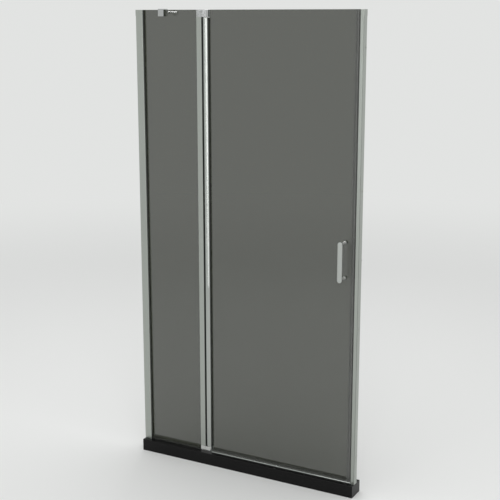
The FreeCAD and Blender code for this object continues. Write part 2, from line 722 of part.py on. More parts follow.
def door_bottom_seal():
    """Clear channel under the door glass with two soft lips over the threshold bar."""
    out = GLASS_HALF + SEAL_WALL
    web = DOOR_BOTTOM - SEAL_WALL
    top = DOOR_BOTTOM + SEAL_GRIP
    tip = SILL_HEIGHT + THRESHOLD_HEIGHT + SWEEP_CLEAR
    splay = out + LIP_THICK
    corners = [
        (-out, web, 0), (-splay, tip, 0), (LIP_THICK - splay, tip, 0), (LIP_THICK - out, web - LIP_THICK, 0),
        (out - LIP_THICK, web - LIP_THICK, 0), (splay - LIP_THICK, tip, 0), (splay, tip, 0), (out, web, 0),
        (out, top, SEAL_TIP_CORNER), (GLASS_HALF, top, 0), (GLASS_HALF, DOOR_BOTTOM, 0),
        (-GLASS_HALF, DOOR_BOTTOM, 0), (-GLASS_HALF, top, 0), (-out, top, SEAL_TIP_CORNER),
    ]
    return run_along_x(corners, AXIS_X + SWEEP_START, DOOR_EDGE - SEAL_GRIP - SLIDE_GAP)


def magnet_section(x0, x1):
    return rectangle(x0, x1, -MAGNET_HALF, MAGNET_HALF)


def door_magnet_seal():
    """Clear extrusion over the free edge of the door glass, with a hollow bulb for the magnet."""
    out = GLASS_HALF + SEAL_WALL
    legs = rectangle(DOOR_EDGE - SEAL_GRIP, BULB_X + BULB_CORNER, -out, out)
    bulb = rectangle(BULB_X, SEAL_TIP, -BULB_HALF, BULB_HALF, BULB_CORNER)
    section = legs.fuse(bulb).removeSplitter()
    section = section.cut(rectangle(0, DOOR_EDGE, -GLASS_HALF, GLASS_HALF))
    hollow = rectangle(BULB_X + SEAL_WALL, SEAL_TIP - SEAL_WALL, -MAGNET_HALF, MAGNET_HALF)
    section = section.cut(hollow)
    return rise(section, SILL_HEIGHT + THRESHOLD_HEIGHT + SWEEP_CLEAR, TOP)


def door_magnet():
    x1 = SEAL_TIP - SEAL_WALL
    return rise(magnet_section(x1 - MAGNET_THICK, x1), DOOR_BOTTOM, TOP - SEAL_WALL)


def strike_magnet_seal():
    """Soft carrier: magnet head, neck and root in the strike slot, and a rear fin as door stop."""
    slot_back = RIGHT - RIGHT_LEG - SKIRT_ROOM - SKIN
    head = rectangle(HEAD_X, STRIKE_X, -BULB_HALF, BULB_HALF)
    neck = rectangle(STRIKE_X - OVERCUT, slot_back, -NECK_HALF, NECK_HALF)
    root_x = STRIKE_X + MOUTH_LIP
    root = rectangle(root_x, root_x + ROOT_THICK, -ROOT_HALF, ROOT_HALF)
    fin_y = BULB_HALF + STOP_GAP
    fin = rectangle(HEAD_X - FIN_REACH, STRIKE_X, fin_y, fin_y + FIN_THICK)
    bridge = rectangle(STRIKE_X - SEAL_WALL, STRIKE_X, 0, fin_y + FIN_THICK)
    section = head.fuse([neck, root, bridge, fin]).removeSplitter()
    magnet_x = HEAD_X + HEAD_SKIN
    section = section.cut(magnet_section(magnet_x, magnet_x + MAGNET_THICK))
    return rise(section, SILL_HEIGHT + THRESHOLD_HEIGHT, TOP)


def strike_magnet():
    magnet_x = HEAD_X + HEAD_SKIN
    return rise(magnet_section(magnet_x, magnet_x + MAGNET_THICK), DOOR_BOTTOM, TOP - SEAL_WALL)


def sill_base():
    corners = [
        (-SILL_FRONT, 0, 0), (SILL_BACK, 0, 0), (SILL_BACK, SILL_HEIGHT, SILL_EDGE),
        (-SILL_FRONT, SILL_HEIGHT, SILL_EDGE),
    ]
    return run_along_x(corners, LEFT, RIGHT)


def threshold_bar():
    """Low rounded bar on the base bar, under the door."""
    front = THRESHOLD_BACK - THRESHOLD_WIDTH
    top = SILL_HEIGHT + THRESHOLD_HEIGHT
    shoulder = SILL_HEIGHT + THRESHOLD_SIDE
    corners = [
        (front, SILL_HEIGHT, 0), (THRESHOLD_BACK, SILL_HEIGHT, 0),
        (THRESHOLD_BACK, shoulder, 0, (THRESHOLD_BACK - THRESHOLD_WIDTH / 2, top)), (front, shoulder, 0),
    ]
    return run_along_x(corners, AXIS_X + HALF + SLIDE_GAP, STRIKE_X - SLIDE_GAP)


# Handle

def handle_bar():
    """Flat pull bar with fully round ends and soft edges."""
    radius = HANDLE_WIDTH / 2
    x0 = HANDLE_X - radius
    x1 = HANDLE_X + radius
    z0 = HANDLE_Z - HANDLE_LENGTH / 2
    z1 = HANDLE_Z + HANDLE_LENGTH / 2
    section = rectangle(x0, x1, -z1, -z0, radius)
    section.rotate(point(0, 0), X_AXIS, -90)
    section.translate(point(0, -HANDLE_PROJECTION, 0))
    solid = section.extrude(Y_AXIS * HANDLE_THICK).Solids[0]
    rim = [e for e in solid.Edges if e.BoundBox.YLength < NEAR * 10]
    return solid.makeFillet(HANDLE_EDGE, rim)


def handle_standoffs():
    """Round standoffs with a collar at the glass and a threaded bore for the bolt."""
    foot = -GLASS_HALF - WASHER
    height = foot - BAR_BACK
    posts = []
    for z in handle_heights():
        profile = [
            (0, BOLT_BITE), (BOLT_R, BOLT_BITE), (BOLT_R, 0), (COLLAR_R, 0), (COLLAR_R, COLLAR_RIM),
            (STANDOFF_R, COLLAR_HEIGHT), (STANDOFF_R, height), (0, height),
        ]
        posts.append(turned(profile, point(HANDLE_X, foot, z), Y_AXIS * -1))
    return Part.makeCompound(posts)


def ring_set(outer_r, thickness, starts):
    """Rings round the handle bolts, standing along Y at each start."""
    inner_r = BOLT_R + SLEEVE_GAP
    rings = []
    for z in handle_heights():
        for y in starts:
            ring = rod(outer_r, point(HANDLE_X, y, z), Y_AXIS, thickness)
            rings.append(ring.cut(rod(inner_r, point(HANDLE_X, y, z), Y_AXIS, thickness)).Solids[0])
    return Part.makeCompound(rings)


def handle_sleeves():
    return ring_set(GLASS_HOLE_R - SLEEVE_GAP, GLASS, [-GLASS_HALF])


def handle_washers():
    return ring_set(WASHER_R, WASHER, [-GLASS_HALF - WASHER, GLASS_HALF])


def bolt_span():
    front = -GLASS_HALF - WASHER - BOLT_BITE
    back = GLASS_HALF + WASHER + INNER_CAP_BORE
    return front, back


def handle_bolts():
    front, back = bolt_span()
    return Part.makeCompound([rod(BOLT_R, point(HANDLE_X, front, z), Y_AXIS, back - front)
                              for z in handle_heights()])


def handle_inner_caps():
    """Domed nuts on the shower side of the glass."""
    back = bolt_span()[1]
    seat = GLASS_HALF + WASHER
    caps = []
    for z in handle_heights():
        cap = domed(INNER_CAP_R, INNER_CAP_HEIGHT, INNER_CAP_RIM, point(HANDLE_X, seat, z), Y_AXIS)
        caps.append(cap.cut(rod(BOLT_R, point(HANDLE_X, seat, z), Y_AXIS, back - seat)).Solids[0])
    return Part.makeCompound(caps)


# Brace

def fork(x, y, x0, x1, y0, y1):
    """Pair of ears about a swivel pin at (x, y), each on a neck with this plan."""
    ears = []
    for z0 in (BRACE_Z - EYE_HALF - EYE_GAP - EAR_THICK, BRACE_Z + EYE_HALF + EYE_GAP):
        neck = box(x0, x1, y0, y1, z0, z0 + EAR_THICK)
        ears.append(neck.fuse(rod(EAR_R, point(x, y, z0), Z_AXIS, EAR_THICK)))
    return ears


def swivel_hole(x, y, radius):
    return rod(radius, point(x, y, BRACE_Z - CLAMP_DROP), Z_AXIS, 2 * CLAMP_DROP)


def grub_places():
    return [CLAMP_X - GRUB_OFFSET, CLAMP_X + GRUB_OFFSET]


def brace_clamp():
    """Block over the top edge of the fixed glass with a swivel fork behind."""
    slot = GLASS_HALF + PAD
    z0 = TOP - CLAMP_DROP
    z1 = TOP + CLAMP_RISE
    roof = TOP + CLAMP_SEAT
    corners = [
        (-slot - FRONT_JAW, z0, JAW_EDGE), (-slot, z0, 0), (-slot, roof, 0), (slot, roof, 0), (slot, z0, 0),
        (CLAMP_REAR, z0, JAW_EDGE), (CLAMP_REAR, z1, JAW_EDGE), (-slot - FRONT_JAW, z1, JAW_EDGE),
    ]
    block = run_along_x(corners, CLAMP_X - CLAMP_WIDTH / 2, CLAMP_X + CLAMP_WIDTH / 2)
    ears = fork(CLAMP_X, SWIVEL_Y, CLAMP_X - EAR_R, CLAMP_X + EAR_R, CLAMP_REAR - JAW_EDGE, SWIVEL_Y)
    block = block.fuse(ears)
    cuts = [swivel_hole(CLAMP_X, SWIVEL_Y, SWIVEL_R)]
    for x in grub_places():
        cuts.append(rod(GRUB_R, point(x, slot, BRACE_Z), Y_AXIS, REAR_JAW))
    return one(block.cut(cuts))


def brace_clamp_pads():
    x0 = CLAMP_X - CLAMP_WIDTH / 2 + PAD_MARGIN
    x1 = CLAMP_X + CLAMP_WIDTH / 2 - PAD_MARGIN
    z0 = TOP - CLAMP_DROP + PAD_MARGIN
    z1 = TOP - PAD_MARGIN
    front = box(x0, x1, -GLASS_HALF - PAD, -GLASS_HALF, z0, z1)
    rear = box(x0, x1, GLASS_HALF, GLASS_HALF + PAD, z0, z1)
    return Part.makeCompound([front, rear])


def brace_clamp_screws():
    """Socket set screws in the rear jaw that press on the rear pad."""
    seat = GLASS_HALF + PAD
    screws = []
    for x in grub_places():
        screw = rod(GRUB_R, point(x, seat, BRACE_Z), Y_AXIS, GRUB_LENGTH)
        hexagon = []
        for i in range(6):
            turn = math.radians(60 * i)
            hexagon.append((x + GRUB_SOCKET * math.cos(turn), -BRACE_Z + GRUB_SOCKET * math.sin(turn), 0))
        socket = area(hexagon)
        socket.rotate(point(0, 0), X_AXIS, -90)
        socket.translate(point(0, seat + GRUB_LENGTH, 0))
        screws.append(screw.cut(socket.extrude(Y_AXIS * -GRUB_SOCKET_DEPTH)).Solids[0])
    return Part.makeCompound(screws)


def swivel_pin(x, y):
    """Headed pin through a fork."""
    z0 = BRACE_Z - EYE_HALF - EYE_GAP - EAR_THICK
    z1 = BRACE_Z + EYE_HALF + EYE_GAP + EAR_THICK
    return headed(SWIVEL_R, z1 - z0, SWIVEL_HEAD_R, SWIVEL_HEAD, SWIVEL_RIM, point(x, y, z1), Z_AXIS)


def brace_arm():
    """Round bar with a flat eye at each end, from the clamp to the wall rosette."""
    dx = FLANGE_X - CLAMP_X
    dy = BRACE_WALL_Y - SWIVEL_Y
    length = math.hypot(dx, dy)
    bar = rod(BAR_R, point(BAR_START, 0), X_AXIS, length - 2 * BAR_START)
    neck = box(0, length, NECK_INSET - EYE_R, EYE_R - NECK_INSET, -EYE_HALF, EYE_HALF)
    eyes = [rod(EYE_R, point(x, 0, -EYE_HALF), Z_AXIS, 2 * EYE_HALF) for x in (0, length)]
    arm = bar.fuse([neck] + eyes)
    bore = SWIVEL_R + RUN_FIT
    holes = [rod(bore, point(x, 0, -BAR_R), Z_AXIS, 2 * BAR_R) for x in (0, length)]
    arm = one(arm.cut(holes))
    arm.rotate(point(0, 0), Z_AXIS, math.degrees(math.atan2(dy, dx)))
    arm.translate(point(CLAMP_X, SWIVEL_Y, BRACE_Z))
    return arm


def brace_flange():
    """Round wall rosette with a swivel fork and two screw holes, one above the other."""
    edge = ROSETTE - ROSETTE_EDGE
    profile = [(0, 0), (ROSETTE_R, 0), (ROSETTE_R, edge), (ROSETTE_R - ROSETTE_EDGE, ROSETTE), (0, ROSETTE)]
    plate = turned(profile, point(LEFT, BRACE_WALL_Y, BRACE_Z), X_AXIS)
    ears = fork(FLANGE_X, BRACE_WALL_Y, LEFT + EAR_SINK, FLANGE_X, BRACE_WALL_Y - EAR_R, BRACE_WALL_Y + EAR_R)
    cuts = [swivel_hole(FLANGE_X, BRACE_WALL_Y, SWIVEL_R)]
    for turn in (-1, 1):
        start = point(LEFT, BRACE_WALL_Y, BRACE_Z + turn * BRACE_HOLES / 2)
        cuts.append(rod(BRACE_HOLE_R, start, X_AXIS, ROSETTE))
    return one(plate.fuse(ears).cut(cuts))


NODES = {
    "sill_base": sill_base(),
    "wall_channel_left": wall_channel(-1, LEFT_LEG, LOCK_U_LEFT),
    "panel_profile_left": panel_profile(),
    "lock_screws_left": lock_screws(-1, LOCK_U_LEFT),
    "lock_screw_caps_left": lock_screw_caps(-1, LOCK_U_LEFT),
    "end_cap_left": end_cap(-1, LEFT_FACE, LEFT_LEG + SKIRT_ROOM, LEFT_FACE - POCKET_DEPTH, POCKET_HALF),
    "fixed_glass": fixed_glass(),
    "fixed_gasket_left": glazing_pair(LEFT + LEFT_FACE, 1, SILL_HEIGHT + FIXED_GLASS_LIFT, TOP),
    "fixed_gasket_post": glazing_pair(POST_X, -1, SILL_HEIGHT + FIXED_GLASS_LIFT, TOP),
    "fixed_bottom_seal": fixed_bottom_seal(),
    "pivot_post": pivot_post(),
    "post_wiper_seal": post_wiper_seal(),
    "top_pivot_bracket": top_pivot_bracket(),
    "bottom_pivot_foot": bottom_pivot_foot(),
    "pivot_pin_top": pivot_pin(BRACKET_Z, -1),
    "pivot_pin_bottom": pivot_pin(FOOT_Z, 1),
    "bracket_screws": bracket_screws(),
    "threshold_bar": threshold_bar(),
    "wall_channel_right": wall_channel(1, RIGHT_LEG, LOCK_U_RIGHT),
    "strike_profile": strike_profile(),
    "lock_screws_right": lock_screws(1, LOCK_U_RIGHT),
    "lock_screw_caps_right": lock_screw_caps(1, LOCK_U_RIGHT),
    "end_cap_right": end_cap(1, RIGHT_FACE, RIGHT_LEG + SKIRT_ROOM, RIGHT_LEG + SKIRT_ROOM + SKIN, SLOT_HALF),
    "strike_magnet_seal": strike_magnet_seal(),
    "strike_magnet": strike_magnet(),
    "brace_clamp": brace_clamp(),
    "brace_clamp_pads": brace_clamp_pads(),
    "brace_clamp_screws": brace_clamp_screws(),
    "brace_clamp_pin": swivel_pin(CLAMP_X, SWIVEL_Y),
    "brace_arm": brace_arm(),
    "brace_flange_pin": swivel_pin(FLANGE_X, BRACE_WALL_Y),
    "brace_flange": brace_flange(),
    "door_glass": door_glass(),
    "pivot_stile": pivot_stile(),
    "door_gasket": glazing_pair(STILE_X, 1, STILE_BOTTOM, STILE_TOP),
    "pivot_bush_top": pivot_bush(STILE_TOP, -1),
    "pivot_bush_bottom": pivot_bush(STILE_BOTTOM, 1),
    "door_bottom_seal": door_bottom_seal(),
    "door_magnet_seal": door_magnet_seal(),
    "door_magnet": door_magnet(),
    "handle_bar": handle_bar(),
    "handle_standoffs": handle_standoffs(),
    "handle_sleeves": handle_sleeves(),
    "handle_washers": handle_washers(),
    "handle_bolts": handle_bolts(),
    "handle_inner_caps": handle_inner_caps(),
}

os.makedirs("parts", exist_ok=True)
for name, shape in NODES.items():
    shape.exportStep(f"parts/{name}.step")
    box_now = shape.BoundBox
    print(f"{name:24s} solids {len(shape.Solids)} valid {shape.isValid()} volume {shape.Volume:12.1f} "
          f"X {box_now.XMin:8.2f} {box_now.XMax:8.2f} Y {box_now.YMin:7.2f} {box_now.YMax:7.2f} "
          f"Z {box_now.ZMin:8.2f} {box_now.ZMax:8.2f}")
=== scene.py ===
"""Looks of the pivot shower door: finishes for its frame pieces, fine pieces, studio and camera.

Metres, +Z up. X runs along the door, Y into the shower, Z up from the underside of the base bar.
"""

import json
import math

import bpy
import numpy as np
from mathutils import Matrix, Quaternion, Vector


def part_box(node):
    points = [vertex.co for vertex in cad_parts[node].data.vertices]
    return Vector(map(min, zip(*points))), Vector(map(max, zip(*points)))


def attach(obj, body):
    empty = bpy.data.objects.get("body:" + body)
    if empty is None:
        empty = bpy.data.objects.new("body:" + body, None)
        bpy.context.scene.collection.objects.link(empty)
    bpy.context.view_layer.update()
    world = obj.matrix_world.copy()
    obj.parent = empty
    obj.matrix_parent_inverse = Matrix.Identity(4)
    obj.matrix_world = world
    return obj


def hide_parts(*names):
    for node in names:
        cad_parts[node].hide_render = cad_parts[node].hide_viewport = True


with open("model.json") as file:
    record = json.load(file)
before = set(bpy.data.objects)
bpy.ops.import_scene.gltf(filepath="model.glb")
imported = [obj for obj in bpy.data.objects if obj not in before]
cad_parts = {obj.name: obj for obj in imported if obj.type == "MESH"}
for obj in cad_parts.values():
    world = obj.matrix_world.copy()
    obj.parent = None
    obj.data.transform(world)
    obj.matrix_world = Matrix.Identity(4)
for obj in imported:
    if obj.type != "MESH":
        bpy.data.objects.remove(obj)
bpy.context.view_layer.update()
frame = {"nodes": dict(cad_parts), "record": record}

# Camera, solved from the photograph's edges
IMAGE_SIZE = 500             # px, square
SENSOR = 36.0                # mm
FOCAL_PX = 1038.0            # focal length in pixels, 2 % wide of the solved one to keep the base bar in view
MIDDLE_PX = (252.0, 244.0)   # where the optical axis meets the picture
CAMERA_PLACE = (1.976, -3.575, 1.875)
CAMERA_PITCH = -12.38        # degrees
CAMERA_YAW = 28.56           # degrees, towards the fixed panel

# Studio
FLOOR_REACH = 400.0              # m, half the side of the floor
FLOOR_NEAR = 2.2                 # m from the middle, where the lit floor starts to turn into the backdrop
FLOOR_FAR = 7.0                  # m, where it has become the backdrop
BACKDROP = (0.76, 0.77, 0.76)    # what the camera sees, and what metal and glass mirror or show
FLOOR_COLOUR = (0.86, 0.87, 0.86)
SKY_LIGHT = 0.70                 # grey level of the soft light from all round


# Shader graphs

class Signal:
    """A value in a shader graph; arithmetic on it adds Math nodes."""

    def __init__(self, graph, socket):
        self.graph = graph
        self.socket = socket

    def math(self, operation, first, second=0.0):
        return self.graph.node("ShaderNodeMath", {"operation": operation}, {0: first, 1: second})

    def __add__(self, other):
        return self.math("ADD", self, other)

    def __rsub__(self, other):
        return self.math("SUBTRACT", other, self)

    def __mul__(self, other):
        return self.math("MULTIPLY", self, other)

    def __gt__(self, other):
        return self.math("GREATER_THAN", self, other)

    def __abs__(self):
        return self.math("ABSOLUTE", self)

    __radd__ = __add__


class Graph:
    """Node tree of a material or of the world."""

    def __init__(self, owner):
        owner.use_nodes = True
        self.tree = owner.node_tree
        self.tree.nodes.clear()

    def node(self, kind, settings=None, sockets=None, out=0):
        """Add a node: its settings first, then the values or links of its sockets."""
        node = self.tree.nodes.new(kind)
        for key, value in (settings or {}).items():
            setattr(node, key, value)
        for key, value in (sockets or {}).items():
            if isinstance(value, Signal):
                self.tree.links.new(value.socket, node.inputs[key])
            else:
                node.inputs[key].default_value = value
        return Signal(self, node.outputs[out]) if node.outputs else None

    def colour(self, mask, first, second):
        """First colour where mask is 0, second where it is 1."""
        sockets = {0: mask, 6: opaque(first), 7: opaque(second)}
        return self.node("ShaderNodeMix", {"data_type": "RGBA"}, sockets, 2)

    def noise(self, scale, stretch=(1.0, 1.0, 1.0), detail=2.0):
        """Noise from 0 to 1 on object coordinates, with this many waves per metre along each axis."""
        place = self.node("ShaderNodeTexCoord", out="Object")
        stretched = self.node("ShaderNodeMapping", None, {"Vector": place, "Scale": stretch})
        return self.node("ShaderNodeTexNoise", None, {"Vector": stretched, "Scale": scale, "Detail": detail})

    def bump(self, height, strength, distance):
        """Normal from a height mask, as deep as distance in metres where the mask is 1."""
        sockets = {"Height": height, "Strength": strength, "Distance": distance}
        return self.node("ShaderNodeBump", None, sockets)

    def principled(self, **sockets):
        """Principled shader; base_color sets the socket Base Color, and so on."""
        named = {key.replace("_", " ").title().replace("Ior", "IOR"): value for key, value in sockets.items()}
        return self.node("ShaderNodeBsdfPrincipled", None, named)

    def output(self, shader):
        """Lead the shader to the material's surface."""
        self.node("ShaderNodeOutputMaterial", None, {"Surface": shader})

    def surface(self, **sockets):
        """Principled shader led straight to the surface."""
        self.output(self.principled(**sockets))


def finish(name):
    """New material and its graph."""
    material = bpy.data.materials.new(name)
    return material, Graph(material)


def opaque(colour):
    """The colour with full alpha, as a colour socket takes it."""
    return (*colour, 1.0)


# Finishes

def tinted_glass():
    """Grey glass: thin veil and tint on the faces, darker green-grey on the ground edges."""
    material, graph = finish("tinted_glass")
    normal = graph.node("ShaderNodeTexCoord", out="Normal")
    face = abs(graph.node("ShaderNodeSeparateXYZ", None, {0: normal}, "Y")) > 0.5
    edge = 1 - face
    smear = graph.noise(2.3, (1.0, 1.0, 0.4), 4.0)
    graph.surface(
        base_color=graph.colour(edge, (0.032, 0.037, 0.022), (0.10, 0.14, 0.12)),
        roughness=0.01 + smear * 0.03,
        ior=1.5,
        alpha=0.66 + edge * 0.27,
    )
    return material


def satin_aluminium():
    """Anodised extrusion: faint drawing lines along its length and a slight cloudiness."""
    material, graph = finish("satin_aluminium")
    lines = graph.noise(1.0, (2600.0, 2600.0, 6.0), 3.0)
    cloud = graph.noise(9.0, (1.0, 1.0, 0.3), 3.0)
    graph.surface(
        base_color=graph.colour(cloud, (0.39, 0.415, 0.385), (0.43, 0.455, 0.425)),
        metallic=1.0,
        roughness=0.30 + lines * 0.10,
        normal=graph.bump(lines, 0.12, 0.0002),
    )
    return material


def polished_aluminium():
    """Bright extrusion: near-mirror with long faint streaks."""
    material, graph = finish("polished_aluminium")
    streaks = graph.noise(1.0, (900.0, 900.0, 2.0), 2.0)
    smudge = graph.noise(14.0, (1.0, 1.0, 0.5), 4.0)
    graph.surface(
        base_color=graph.colour(smudge, (0.42, 0.44, 0.42), (0.48, 0.50, 0.48)),
        metallic=1.0,
        roughness=0.02 + streaks * 0.01 + smudge * 0.02,
        normal=graph.bump(streaks, 0.01, 0.0001),
    )
    return material


def chrome():
    """Plated casting: mirror with polishing haze."""
    material, graph = finish("chrome")
    haze = graph.noise(60.0, detail=4.0)
    ripple = graph.noise(35.0, detail=1.0)
    graph.surface(
        base_color=graph.colour(haze, (0.45, 0.46, 0.46), (0.53, 0.54, 0.54)),
        metallic=1.0,
        roughness=0.05 + haze * 0.05,
        normal=graph.bump(ripple, 0.05, 0.0005),
    )
    return material


def plated_casting_painted_bright():
    """Plated die casting like the top casting's chrome, its tones raised above the chrome's as a painted
    highlight, with the soft waviness of a hand-polished surface.
    """
    material, graph = finish("plated_casting_painted_bright")
    haze = graph.noise(60.0, detail=4.0)
    wave = graph.noise(130.0, detail=2.0)
    graph.surface(
        # painted highlight: base tones brighter than the chrome of the same casting
        base_color=graph.colour(haze, (0.60, 0.61, 0.60), (0.72, 0.73, 0.72)),
        metallic=1.0,
        roughness=0.12 + haze * 0.10,
        normal=graph.bump(wave, 0.22, 0.0008),
    )
    return material


def satin_steel():
    """Brushed bar: fine grain along its length."""
    material, graph = finish("satin_steel")
    grain = graph.noise(1.0, (3200.0, 3200.0, 60.0), 3.0)
    graph.surface(
        base_color=graph.colour(grain, (0.44, 0.46, 0.44), (0.54, 0.56, 0.54)),
        metallic=1.0,
        roughness=0.30 + grain * 0.12,
        normal=graph.bump(grain, 0.15, 0.0001),
    )
    return material


def turned_steel_painted_bright():
    """Lathe-turned rod standing along Y: fine rings round it that spread the light along it, its steel in
    tones much lighter than the bar's as a painted highlight.
    """
    material, graph = finish("turned_steel_painted_bright")
    rings = graph.noise(1.0, (20.0, 2600.0, 20.0), 3.0)
    graph.surface(
        # painted highlight: steel tones far lighter than the handle bar's satin steel
        base_color=graph.colour(rings, (0.74, 0.75, 0.73), (0.86, 0.87, 0.85)),
        metallic=0.85,
        roughness=0.32 + rings * 0.12,
        normal=graph.bump(rings, 0.35, 0.0002),
    )
    return material


def black_stone():
    """Polished artificial stone: near black with sparse fine flecks."""
    material, graph = finish("black_stone")
    grain = graph.noise(900.0, detail=2.0)
    fleck = grain > 0.68
    cloud = graph.noise(25.0, detail=5.0)
    graph.surface(
        base_color=graph.colour(fleck * cloud, (0.006, 0.006, 0.006), (0.08, 0.08, 0.08)),
        roughness=0.16 + cloud * 0.10,
        ior=1.45,
        specular_ior_level=0.18,
        normal=graph.bump(cloud, 0.04, 0.0005),
    )
    return material


def black_rubber():
    """Matt black strip with a fine skin."""
    material, graph = finish("black_rubber")
    skin = graph.noise(1500.0, detail=3.0)
    graph.surface(
        base_color=graph.colour(skin, (0.012, 0.012, 0.012), (0.030, 0.030, 0.030)),
        roughness=0.55 + skin * 0.2,
        normal=graph.bump(skin, 0.2, 0.0001),
    )
    return material


def clear_seal(name, dark, light):
    """See-through extrusion with a fine drawn skin, its cloudiness between two tones."""
    material, graph = finish(name)
    lines = graph.noise(1200.0, detail=2.0)
    cloud = graph.noise(20.0, detail=3.0)
    graph.surface(
        base_color=graph.colour(cloud, dark, light),
        roughness=0.30 + lines * 0.12,
        specular_ior_level=0.35,
        alpha=0.42 + cloud * 0.12,
        normal=graph.bump(lines, 0.08, 0.0001),
    )
    return material


def magnet_strip():
    """Dark flexible magnet with a rubbed surface."""
    material, graph = finish("magnet_strip")
    rub = graph.noise(700.0, (1.0, 1.0, 0.2), 3.0)
    graph.surface(
        base_color=graph.colour(rub, (0.035, 0.034, 0.033), (0.075, 0.072, 0.070)),
        roughness=0.5 + rub * 0.2,
    )
    return material


def nylon():
    """Natural moulded bush."""
    material, graph = finish("nylon")
    mottle = graph.noise(300.0, detail=3.0)
    graph.surface(
        base_color=graph.colour(mottle, (0.66, 0.65, 0.61), (0.78, 0.77, 0.73)),
        roughness=0.38 + mottle * 0.12,
        normal=graph.bump(mottle, 0.05, 0.0002),
    )
    return material


def soft_washer():
    """Smoky see-through washer and pad."""
    material, graph = finish("soft_washer")
    cloud = graph.noise(250.0, detail=2.0)
    graph.surface(
        base_color=graph.colour(cloud, (0.20, 0.21, 0.20), (0.30, 0.31, 0.30)),
        roughness=0.35 + cloud * 0.1,
        alpha=0.75,
    )
    return material


def screw_steel():
    """Bright steel fastener with turning marks."""
    material, graph = finish("screw_steel")
    turning = graph.noise(1800.0, (0.3, 0.3, 1.0), 2.0)
    graph.surface(
        base_color=graph.colour(turning, (0.50, 0.50, 0.49), (0.62, 0.62, 0.61)),
        metallic=1.0,
        roughness=0.22 + turning * 0.14,
        normal=graph.bump(turning, 0.1, 0.0001),
    )
    return material


FINISHES = {
    "base_stone": black_stone(),
    "satin_aluminium": satin_aluminium(),
    "polished_aluminium": polished_aluminium(),
    "chrome": chrome(),
    "satin_steel": satin_steel(),
    "tinted_glass": tinted_glass(),
    "black_rubber": black_rubber(),
    "clear_seal": clear_seal("smoky_seal", (0.060, 0.064, 0.054), (0.090, 0.094, 0.084)),
    "magnet_strip": magnet_strip(),
    "nylon": nylon(),
    "soft_washer": soft_washer(),
    "screw_steel": screw_steel(),
}
EDGE_SEAL = clear_seal("edge_seal", (0.150, 0.155, 0.145), (0.190, 0.195, 0.185))
TURNED_PAINTED_BRIGHT = turned_steel_painted_bright()
NODE_FINISHES = {    # nodes whose finish isn't that of their slot
    "door_magnet_seal": EDGE_SEAL,
    "strike_magnet_seal": EDGE_SEAL,
    # painted highlight: the foot takes a brighter copy of the chrome casting
    "bottom_pivot_foot": plated_casting_painted_bright(),
    # painted highlight: the rods take a lighter copy of the bar's steel
    "handle_standoffs": TURNED_PAINTED_BRIGHT,
}


def dress_frame():
    """Give every carried-over node its own finish, or else that of its slot in the record."""
    for entry in frame["record"]["subparts"]:
        name = entry["node"]
        material = NODE_FINISHES.get(name, FINISHES[entry["material_slot"]])
        for holder in frame["nodes"][name].material_slots:
            holder.material = material


# Fine pieces

SHARP_ANGLE = 32.0    # degrees between faces, past which an edge stays crisp


def lathe(profile, angles):
    """Rings of points: each (radius, height) of the profile carried round the Z axis through the angles."""
    radius, height = np.asarray(profile, float).T
    x = np.outer(radius, np.cos(angles))
    y = np.outer(radius, np.sin(angles))
    return np.stack([x, y, np.repeat(height[:, None], len(angles), axis=1)], axis=-1)


def even_angles(count):
    """Angles that share a full turn evenly, without the one that would meet the first again."""
    return np.linspace(0.0, 2.0 * np.pi, count, endpoint=False)


def ease(start, end, count):
    """Values from start to end along half a cosine wave, slow at both ends."""
    return start + (end - start) * (1.0 - np.cos(np.linspace(0.0, np.pi, count))) / 2.0


def fine_piece(name, shells, material, body, node):
    """One object of closed shells that stands for a node.

    Each shell is an array of rings by points by 3, capped at both ends. Ring k is joined to ring k + 1 by
    quads that go round with the points, and the last point meets the first."""
    points, faces, first = [], [], 0
    for rings in shells:
        count, around = rings.shape[:2]
        index = first + np.arange(count * around).reshape(count, around)
        low, high = index[:-1], index[1:]
        quads = np.stack([low, np.roll(low, -1, axis=1), np.roll(high, -1, axis=1), high], axis=-1)
        faces += quads.reshape(-1, 4).tolist() + [index[0, ::-1].tolist(), index[-1].tolist()]
        points.append(rings.reshape(-1, 3))
        first += count * around
    mesh = bpy.data.meshes.new(name)
    mesh.from_pydata(np.concatenate(points).tolist(), [], faces)
    mesh.shade_smooth()
    mesh.set_sharp_from_angle(angle=math.radians(SHARP_ANGLE))
    mesh.materials.append(material)
    piece = bpy.data.objects.new(name, mesh)
    bpy.context.scene.collection.objects.link(piece)
    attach(piece, body)
    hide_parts(node)


def handle_rods():
    """Turned standoffs: a bevelled collar on the glass, a stout root for the bolt, a slim neck to the bar.

    Along each rod the radius goes from collar to root and from root to neck by half cosine waves, and
    flares a little where it meets the bar."""
    low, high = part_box("handle_standoffs")
    middle_x = (low[0] + high[0]) / 2.0
    reach = (high[0] - low[0]) / 2.0
    length = high[1] - low[1]
    collar, root, neck, flare = 0.0050, 0.0042, 0.0033, 0.0040    # radii
    bevel, side = 0.0004, 0.0016                                  # collar's bevelled edge and straight side
    to_root = np.linspace(0.0020, 0.0032, 9)
    to_neck = np.linspace(0.0172, 0.0215, 13)
    to_bar = np.linspace(length - 0.0028, length, 7)
    before = 0.0002                                               # plain ring just before a change of radius
    distance = [[0.0, bevel, side], to_root, [to_neck[0] - before], to_neck, [to_bar[0] - before], to_bar]
    radius = [[collar - bevel, collar, collar], ease(collar, root, len(to_root)), [root],
              ease(root, neck, len(to_neck)), [neck], ease(neck, flare, len(to_bar))]
    rings = lathe(np.stack([np.concatenate(radius), np.concatenate(distance)], axis=-1), even_angles(56))
    shells = []
    for z in (low[2] + reach, high[2] - reach):
        place = [middle_x + rings[..., 0], high[1] - rings[..., 2], z + rings[..., 1]]
        shells.append(np.stack(place, axis=-1))
    fine_piece("handle_rods", shells, TURNED_PAINTED_BRIGHT, "door", "handle_standoffs")


